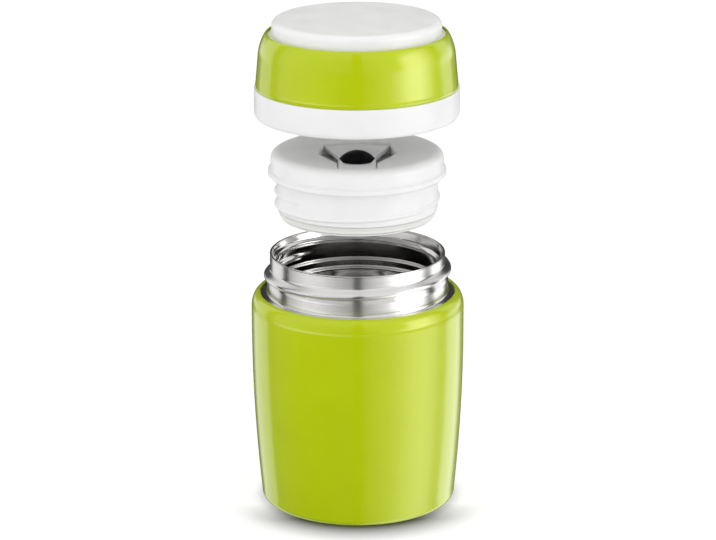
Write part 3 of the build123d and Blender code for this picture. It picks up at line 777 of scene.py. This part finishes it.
def make_vent_button():
    """The black silicone dome, with the stub that plugs it into the lever."""
    top = high("vent_button")
    bottom = low("vent_button")
    base = top - BUTTON_HEIGHT
    bow = (BUTTON_RADIUS**2 + BUTTON_HEIGHT**2) / (2 * BUTTON_HEIGHT)
    spread = math.degrees(math.asin(BUTTON_RADIUS / bow))
    edge = [(BUTTON_RADIUS - BUTTON_EDGE_INSET, base), (BUTTON_RADIUS, base + BUTTON_EDGE_HEIGHT)]
    dome = arc((0, top - bow), bow, 90 - spread, 90, 20)[1:-1] + [(0, top)]
    stub = [(0, bottom), (BUTTON_STUB_RADIUS, bottom), (BUTTON_STUB_RADIUS, base)]
    outline = edge + dome + stub
    piece = lathe("button_moulded", outline, "lever", BLACK, BUTTON_SEGMENTS)
    for vertex in piece.data.vertices:
        vertex.co.y += VALVE_Y * MM
    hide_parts("vent_button")


def make_vent_spring():
    """The valve's spring, a coil of round wire round the valve's axis."""
    floor = low("vent_spring")
    length = high("vent_spring") - floor
    climb = length - 2 * SPRING_WIRE_RADIUS
    coil_radius = reach("vent_spring") - SPRING_WIRE_RADIUS
    steps = SPRING_STEPS_A_TURN * SPRING_TURNS
    build = bmesh.new()
    rings = []
    for i in range(steps + 1):
        turn = 2 * math.pi * SPRING_TURNS * i / steps
        middle = floor + SPRING_WIRE_RADIUS + climb * i / steps
        ring = []
        for k in range(SPRING_WIRE_SIDES):
            side = 2 * math.pi * k / SPRING_WIRE_SIDES
            radius = coil_radius + SPRING_WIRE_RADIUS * math.cos(side)
            height = middle + SPRING_WIRE_RADIUS * math.sin(side)
            x = radius * math.cos(turn)
            y = radius * math.sin(turn) + VALVE_Y
            ring.append(build.verts.new((x * MM, y * MM, height * MM)))
        rings.append(ring)
    for here, after in zip(rings, rings[1:]):
        for k in range(SPRING_WIRE_SIDES):
            j = (k + 1) % SPRING_WIRE_SIDES
            build.faces.new((here[k], here[j], after[j], after[k]))
    build.faces.new(rings[0])
    build.faces.new(rings[-1])
    bmesh.ops.recalc_face_normals(build, faces=build.faces)
    piece = linked("spring_wound", build)
    smooth(piece.data, SPRING_SHARP_ANGLE)
    dress(piece, "stopper", SPRING_STEEL)
    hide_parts("vent_spring")
    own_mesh(piece)


# ---------------------------------------------------------------- lid
def make_lid_liner():
    """The white rim ring and inner cup, with the thread rib that grips the neck."""
    outline = softened(
        [
            (LID_INNER_RADIUS, LID_BOTTOM, 0.5),
            (LID_RIM_RADIUS, LID_BOTTOM, LID_RIM_ROUND),
            (LID_RIM_RADIUS, LID_RIM_TOP, 0.25),
            (LID_INNER_RADIUS + LID_WALL, LID_RIM_TOP, 0.1),
            (LID_INNER_TOP_RADIUS + LID_WALL, LINER_TOP, LID_INNER_ROUND + LID_WALL),
            (0, LINER_TOP, 0),
            (0, LID_ROOF, 0),
            (LID_INNER_TOP_RADIUS, LID_ROOF, LID_INNER_ROUND),
            (LID_INNER_RADIUS, LID_THREAD_TOP, 1.0),
        ],
        10,
    )
    outline += divided(outline[-1], outline[0], RING_SPACING)[1:]
    rib = thread(
        LID_RIB_CREST,
        (LID_RIB_HALF, LID_RIB_HALF),
        LID_RIB_HEIGHT,
        LID_RIB_TURNS,
        (LID_INNER_RADIUS, LID_INNER_RADIUS, LID_THREAD_BOTTOM, LID_THREAD_TOP),
        start=THREAD_START + 360 * LID_LIFT / THREAD_LEAD,
    )
    piece = lathe("lid_liner_moulded", outline, "lid", WHITE, lift=rib)
    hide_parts("lid_liner")


def make_lid_band():
    """The lacquered band, drawn in at the top and turned in at its edges."""
    way = (BAND_SHOULDER_RADIUS - BAND_BOTTOM_RADIUS, BAND_SHOULDER - LID_RIM_TOP)
    crown = tangent_arc((BAND_SHOULDER_RADIUS, BAND_SHOULDER), way, (BAND_EDGE_RADIUS, BAND_EDGE), 16)
    end_way = (crown[-1][0] - crown[-2][0], crown[-1][1] - crown[-2][1])
    lip = tangent_arc(crown[-1], end_way, (BAND_TOP_RADIUS, BAND_TOP), 6)[1:]
    lip.append((BAND_TOP_RADIUS - BAND_WALL / 2, BAND_TOP - BAND_WALL / 4))
    inner_start = (BAND_SHOULDER_RADIUS - BAND_WALL, BAND_SHOULDER)
    inner_crown = tangent_arc(inner_start, way, (BAND_EDGE_RADIUS - BAND_WALL, BAND_EDGE), 10)
    side_bottom = (BAND_BOTTOM_RADIUS, LID_RIM_TOP + BAND_BOTTOM_ROUND)
    side = divided(side_bottom, crown[0], BAND_RING_SPACING)
    edge = [
        (BAND_BOTTOM_RADIUS - BAND_BOTTOM_ROUND, LID_RIM_TOP),
        (BAND_BOTTOM_RADIUS - 0.1, LID_RIM_TOP + 0.1),
    ]
    inside = inner_crown[::-1] + [(BAND_BOTTOM_RADIUS - BAND_WALL, LID_RIM_TOP)]
    outline = edge + side + crown + lip + inside
    piece = lathe("lid_band_lacquered", outline, "lid", GREEN, LACQUER_SEGMENTS)
    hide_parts("lid_band")


def make_lid_top_cap():
    """The raised white top with its soft edge and the flange inside the band."""
    hollow = TOP_CAP_RADIUS - TOP_CAP_WALL
    outline = softened(
        [
            (hollow, LINER_TOP, 0),
            (TOP_CAP_RADIUS, LINER_TOP, 0.1),
            (TOP_CAP_RADIUS, TOP_CAP_FLANGE_BOTTOM, 0),
            (FLANGE_RADIUS, TOP_CAP_FLANGE_BOTTOM, 0.1),
            (FLANGE_RADIUS, TOP_CAP_FLANGE_TOP, 0.2),
            (TOP_CAP_RADIUS, TOP_CAP_FLANGE_TOP, 0.3),
            (TOP_CAP_RADIUS, LID_TOP, TOP_CAP_ROUND),
            (0, LID_TOP, 0),
            (0, LID_TOP - TOP_CAP_WALL, 0),
            (hollow, LID_TOP - TOP_CAP_WALL, 0.3),
        ],
        12,
    )
    piece = lathe("lid_top_moulded", outline, "lid", WHITE)
    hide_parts("lid_top_cap")


# ---------------------------------------------------------------- CAD pieces that stay
MERGE_DISTANCE = 0.000002


def smooth_shading():
    """A modifier group that smooths a CAD surface and keeps its real edges sharp."""
    group = bpy.data.node_groups.new("smooth_shading", "GeometryNodeTree")
    group.interface.new_socket("Geometry", in_out="INPUT", socket_type="NodeSocketGeometry")
    group.interface.new_socket("Geometry", in_out="OUTPUT", socket_type="NodeSocketGeometry")
    start = group.nodes.new("NodeGroupInput")
    merge = group.nodes.new("GeometryNodeMergeByDistance")
    merge.inputs["Distance"].default_value = MERGE_DISTANCE
    faces = group.nodes.new("GeometryNodeSetShadeSmooth")
    angle = group.nodes.new("GeometryNodeInputMeshEdgeAngle")
    sharp = group.nodes.new("FunctionNodeCompare")
    sharp.operation = "GREATER_THAN"
    sharp.inputs[1].default_value = math.radians(SHARP_ANGLE)
    edges = group.nodes.new("GeometryNodeSetShadeSmooth")
    edges.domain = "EDGE"
    edges.inputs["Shade Smooth"].default_value = False
    end = group.nodes.new("NodeGroupOutput")
    link = group.links.new
    link(start.outputs[0], merge.inputs["Geometry"])
    link(merge.outputs["Geometry"], faces.inputs["Geometry"])
    link(faces.outputs["Geometry"], edges.inputs["Geometry"])
    link(angle.outputs["Unsigned Angle"], sharp.inputs[0])
    link(sharp.outputs["Result"], edges.inputs["Selection"])
    link(edges.outputs["Geometry"], end.inputs[0])
    return group


def dress_cad_nodes():
    """Gives the CAD pieces that stay in view their finish and smooth shading."""
    group = smooth_shading()
    for name, material in CAD_FINISH.items():
        node = nodes[name]
        for slot in node.material_slots:
            slot.material = material
        shading = node.modifiers.new("smooth_shading", "NODES")
        shading.node_group = group


# ---------------------------------------------------------------- stage: camera and floor
CAMERA_BACK = 1.298
CAMERA_HEIGHT = 0.508
CAMERA_PITCH = 17.15
CAMERA_ROLL = -0.2
CAMERA_LENS = 150.84
CAMERA_SENSOR = 36
CAMERA_SHIFT = 0.0007

FLOOR_RADIUS = 1.2
FLOOR_DROP = 0.0002
FLOOR_LIT_COLOUR = (0.80, 0.80, 0.83)
FLOOR_SEEN_COLOUR = (0.2, 0.2, 0.2)
FLOOR_GLOW = 0.85

# The shadow at the jar's foot is painted into the floor's glow, which dims with how open the floor
# is to the sky. In front the painted shadow is wide and deep, and behind it is narrow and faint:
# (openness where it is deepest, openness where it ends, glow where it is deepest). One gives way to
# the other between two places in depth.
SHADOW_REACH = 0.022
FRONT_SHADOW = (0.5, 0.95, 0.0)
BACK_SHADOW = (0.5, 0.62, 0.55)
FRONT_SHADOW_END = -0.034
BACK_SHADOW_START = -0.014


def make_camera():
    """A long lens straight in front, slightly above."""
    data = bpy.data.cameras.new("camera")
    data.lens = CAMERA_LENS
    data.sensor_width = CAMERA_SENSOR
    data.shift_x = CAMERA_SHIFT
    camera = bpy.data.objects.new("camera", data)
    camera.location = (0, -CAMERA_BACK, CAMERA_HEIGHT)
    camera.rotation_mode = "ZYX"
    camera.rotation_euler = (math.radians(90 - CAMERA_PITCH), 0, math.radians(CAMERA_ROLL))
    bpy.context.scene.collection.objects.link(camera)
    bpy.context.scene.camera = camera


def floor_glow_and_painted_shadow(tree):
    """How brightly the floor glows: evenly, but for the painted soft shadow round the jar's foot."""
    corner = tree.nodes.new("ShaderNodeAmbientOcclusion")
    corner.inputs["Distance"].default_value = SHADOW_REACH
    front, back = (
        remapped(tree, corner.outputs["AO"], deepest, FLOOR_GLOW, start, end)
        for start, end, deepest in (FRONT_SHADOW, BACK_SHADOW)
    )
    place = tree.nodes.new("ShaderNodeTexCoord")
    depth = tree.nodes.new("ShaderNodeSeparateXYZ")
    tree.links.new(place.outputs["Object"], depth.inputs[0])
    behind = remapped(tree, depth.outputs["Y"], 0, 1, FRONT_SHADOW_END, BACK_SHADOW_START)
    return mixed(tree, behind, front, back)


def floor_finish():
    """White where the camera sees it, plain paint to light, and clear to reflections and from below."""
    material = bpy.data.materials.new("floor")
    material.use_nodes = True
    tree = material.node_tree
    tree.nodes.clear()
    new = tree.nodes.new
    link = tree.links.new
    paths = new("ShaderNodeLightPath")
    lit_paint = new("ShaderNodeBsdfDiffuse")
    lit_paint.inputs["Color"].default_value = (*FLOOR_LIT_COLOUR, 1)
    seen_paint = new("ShaderNodeBsdfDiffuse")
    seen_paint.inputs["Color"].default_value = (*FLOOR_SEEN_COLOUR, 1)
    glow = new("ShaderNodeEmission")
    # The glow carries the painted shadow round the jar's foot.
    link(floor_glow_and_painted_shadow(tree), glow.inputs["Strength"])
    seen = new("ShaderNodeAddShader")
    link(seen_paint.outputs[0], seen.inputs[0])
    link(glow.outputs[0], seen.inputs[1])
    solid = new("ShaderNodeMixShader")
    link(paths.outputs["Is Camera Ray"], solid.inputs[0])
    link(lit_paint.outputs[0], solid.inputs[1])
    link(seen.outputs[0], solid.inputs[2])
    sides = new("ShaderNodeNewGeometry")
    hidden = new("ShaderNodeMath")
    hidden.operation = "MAXIMUM"
    link(paths.outputs["Is Glossy Ray"], hidden.inputs[0])
    link(sides.outputs["Backfacing"], hidden.inputs[1])
    clear = new("ShaderNodeBsdfTransparent")
    surface = new("ShaderNodeMixShader")
    link(hidden.outputs[0], surface.inputs[0])
    link(solid.outputs[0], surface.inputs[1])
    link(clear.outputs[0], surface.inputs[2])
    output = new("ShaderNodeOutputMaterial")
    link(surface.outputs[0], output.inputs["Surface"])
    return material


def make_floor():
    """A plain white floor, clear from below, with the jar's soft shadow partly real, partly painted."""
    build = bmesh.new()
    bmesh.ops.create_circle(build, cap_ends=True, segments=COARSE_SEGMENTS, radius=FLOOR_RADIUS)
    floor = linked("floor", build)
    floor.location.z = -FLOOR_DROP
    floor.data.materials.append(floor_finish())


# ---------------------------------------------------------------- stage: studio
# The studio round the jar, for reflections: (azimuth in degrees from the front, brightness), with
# positive azimuths to the right. Five rows stand one above the other, from the table up to the
# walls. Every row has a box of light on the right, one at the back left and one at the back right,
# with dim strips between them, straight in front and straight behind. All but the table have a box
# on the left as well.
BACK_LEFT = [(-180, 0.04), (-148, 0.04), (-141, 0.88), (-117, 0.96), (-113, 0.04), (-105, 0.04)]
BACK_RIGHT = [(112, 0.04), (117, 0.9), (135, 0.9), (142, 0.04), (180, 0.04)]
WALLS = [
    *BACK_LEFT,
    (-100, 0.8),
    (-75, 1.0),
    (-9, 1.0),
    (-4, 0.1),
    (4, 0.1),
    (9, 1.0),
    (85, 1.1),
    (99, 0.9),
    (103, 0.04),
    *BACK_RIGHT,
]
CROWN_ROW = [
    *BACK_LEFT,
    (-100, 0.8),
    (-75, 0.9),
    (-40, 0.7),
    (-9, 0.5),
    (-4, 0.1),
    (4, 0.1),
    (9, 0.6),
    (30, 0.84),
    (49, 0.84),
    (55, 2.6),
    (61, 4.8),
    (78, 4.8),
    (90, 2.2),
    (100, 0.6),
    (105, 0.04),
    *BACK_RIGHT,
]
BAND_ROW = [
    (-180, 0.08),
    (-160, 0.08),
    (-150, 1.04),
    (-117, 1.04),
    (-113, 0.04),
    (-106, 0.04),
    (-98, 0.64),
    (-68, 0.8),
    (-40, 0.48),
    (-20, 0.24),
    (-3, 0.08),
    (4, 0.08),
    (25, 0.72),
    (38, 1.2),
    (50, 3.04),
    (62, 5.4),
    (76, 5.4),
    (90, 2.4),
    (100, 0.4),
    (108, 0.4),
    (115, 1.92),
    (142, 1.44),
    (152, 0.08),
    (180, 0.08),
]
NECK_ROW = [
    (-180, 0.04),
    (-148, 0.04),
    (-141, 0.72),
    (-117, 0.8),
    (-113, 0.02),
    (-104, 0.02),
    (-98, 1.12),
    (-85, 1.84),
    (-70, 2.64),
    (-50, 2.72),
    (-36, 2.16),
    (-20, 1.6),
    (-7, 1.2),
    (-3, 0.32),
    (3, 0.32),
    (7, 0.96),
    (30, 0.72),
    (50, 0.72),
    (90, 0.8),
    (97, 0.64),
    (102, 0.02),
    (111, 0.02),
    (117, 0.96),
    (135, 0.96),
    (142, 0.04),
    (180, 0.04),
]
TABLE = [
    (-180, 0.08),
    (-158, 0.08),
    (-148, 1.12),
    (-118, 1.04),
    (-112, 0.04),
    (-105, 0.04),
    (-98, 0.16),
    (-80, 0.08),
    (-62, 0.04),
    (-30, 0.08),
    (-8, 0.12),
    (-3, 0.04),
    (4, 0.08),
    (14, 0.48),
    (34, 0.96),
    (48, 1.68),
    (60, 2.4),
    (76, 2.7),
    (90, 2.0),
    (101, 0.64),
    (109, 0.64),
    (116, 1.92),
    (140, 1.76),
    (152, 0.16),
    (180, 0.08),
]

# Each row above the table, with the heights between which it takes over from the row below. A
# height is the upward part of a reflection's direction: -1 is straight down and 1 straight up.
ROWS = (
    (-0.295, -0.265, NECK_ROW),
    (-0.16, -0.11, BAND_ROW),
    (-0.02, 0.10, CROWN_ROW),
    (0.45, 0.62, WALLS),
)
CEILING_START = 0.70
CEILING_FULL = 0.90
TOP_LIGHT = 0.96
TOP_LIGHT_FULL = 0.9
LEFT_LIGHT = 1.12
RIGHT_LIGHT = 1.28
BACKDROP = 1.0


def striped(tree, azimuth_share, stripes):
    """The brightness of a row of stripes at an azimuth, given as a share of the full turn."""
    brightest = max(level for _, level in stripes)
    row = tree.nodes.new("ShaderNodeFloatCurve")
    curve = row.mapping.curves[0]
    curve.points[0].location = (0, stripes[0][1] / brightest)
    curve.points[1].location = (1, stripes[-1][1] / brightest)
    for azimuth, level in stripes[1:-1]:
        curve.points.new((azimuth + 180) / 360, level / brightest)
    for point in curve.points:
        point.handle_type = "VECTOR"
    row.mapping.update()
    tree.links.new(azimuth_share, row.inputs["Value"])
    return remapped(tree, row.outputs[0], 0, brightest, 0, 1)


def azimuth_round_jar(tree, way):
    """A direction's azimuth as a share of the full turn, with the front (-Y) in the middle."""
    forward = remapped(tree, way.outputs["Y"], 1, -1, -1, 1)
    angle = tree.nodes.new("ShaderNodeMath")
    angle.operation = "ARCTAN2"
    tree.links.new(way.outputs["X"], angle.inputs[0])
    tree.links.new(forward, angle.inputs[1])
    return remapped(tree, angle.outputs[0], 0, 1, -math.pi, math.pi)


def make_world():
    """White behind the jar, even soft light on it, and a striped studio in its reflections."""
    world = bpy.data.worlds.new("studio")
    bpy.context.scene.world = world
    world.use_nodes = True
    tree = world.node_tree
    tree.nodes.clear()
    place = tree.nodes.new("ShaderNodeTexCoord")
    way = tree.nodes.new("ShaderNodeSeparateXYZ")
    tree.links.new(place.outputs["Generated"], way.inputs[0])
    around = azimuth_round_jar(tree, way)
    height = way.outputs["Z"]
    studio = striped(tree, around, TABLE)
    for start, end, row in ROWS:
        share = remapped(tree, height, 0, 1, start, end)
        studio = mixed(tree, share, studio, striped(tree, around, row))
    overhead = remapped(tree, height, 0, 1, CEILING_START, CEILING_FULL)
    studio = mixed(tree, overhead, studio, TOP_LIGHT)
    side = remapped(tree, way.outputs["X"], LEFT_LIGHT, RIGHT_LIGHT, -1, 1)
    soft = mixed(tree, remapped(tree, height, 0, 1, 0, TOP_LIGHT_FULL), side, TOP_LIGHT)
    paths = tree.nodes.new("ShaderNodeLightPath")
    lit = mixed(tree, paths.outputs["Is Glossy Ray"], soft, studio)
    final = mixed(tree, paths.outputs["Is Camera Ray"], lit, BACKDROP)
    background = tree.nodes.new("ShaderNodeBackground")
    background.inputs["Color"].default_value = (1, 1, 1, 1)
    tree.links.new(final, background.inputs["Strength"])
    output = tree.nodes.new("ShaderNodeOutputWorld")
    tree.links.new(background.outputs[0], output.inputs["Surface"])


make_outer_shell()
make_threaded_neck()
make_inner_flask()
make_stopper_body()
make_stopper_seal()
make_vent_button()
make_vent_spring()
make_lid_liner()
make_lid_band()
make_lid_top_cap()
dress_cad_nodes()
make_camera()
make_floor()
make_world()
bpy.context.scene.view_settings.view_transform = "Standard"
